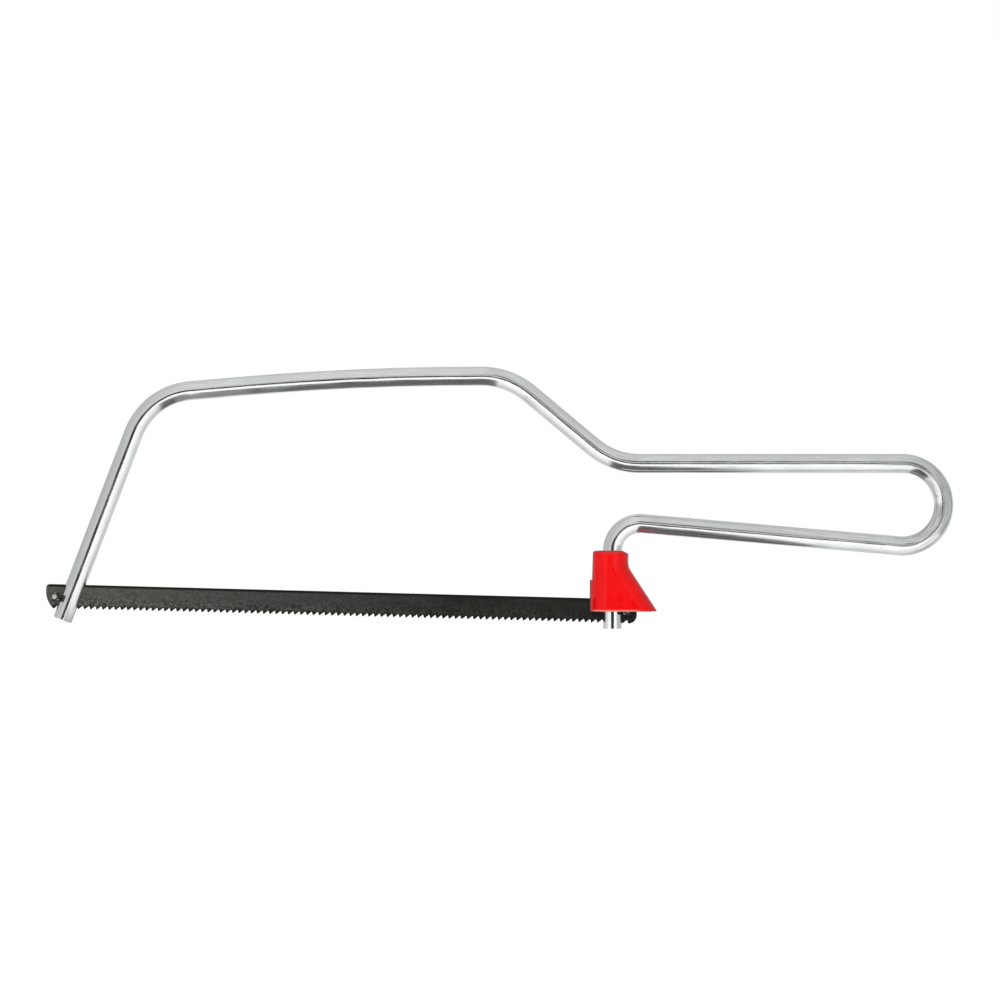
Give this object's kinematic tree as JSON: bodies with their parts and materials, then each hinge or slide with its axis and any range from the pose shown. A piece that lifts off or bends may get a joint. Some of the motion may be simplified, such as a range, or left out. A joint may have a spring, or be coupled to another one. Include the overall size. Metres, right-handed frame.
{
  "type": "mini hacksaw",
  "caption": "Small hand saw: one bent rod forms the frame and looped handle, a pin-ended blade hooks on its slotted legs, and a plastic sleeve slides on the rear leg.",
  "frame": {"origin": "middle of the grip, inside the handle loop, in the plane of the frame", "axes": "+X along the saw to the closed end of the handle, +Z away from the teeth along the rear leg, Y across the thickness"},
  "size_m": [0.2384, 0.0094, 0.0689],
  "materials": {
    "frame_chrome": "bright plating over a drawn rod",
    "blade_black": "thin satin black, grainy near the teeth",
    "pin_steel": "bare turned steel",
    "sleeve_red": "glossy moulded red"
  },
  "bodies": {
    "frame": {"frame_rod": "frame_chrome"},
    "blade": {"saw_blade": "blade_black", "front_blade_pin": "pin_steel", "rear_blade_pin": "pin_steel"},
    "sleeve": {"locking_sleeve": "sleeve_red"}
  },
  "joints": [
    {"name": "sleeve_slide", "type": "slide", "parent": "frame", "child": "sleeve", "axis": [0, 0, 1], "range_m": [-0.0034, 0]},
    {"name": "blade_swing", "type": "hinge", "parent": "frame", "child": "blade", "pos_m": [-0.1904, 0, -0.0253], "axis": [0, 1, 0], "range_deg": [0, 85]}
  ]
}
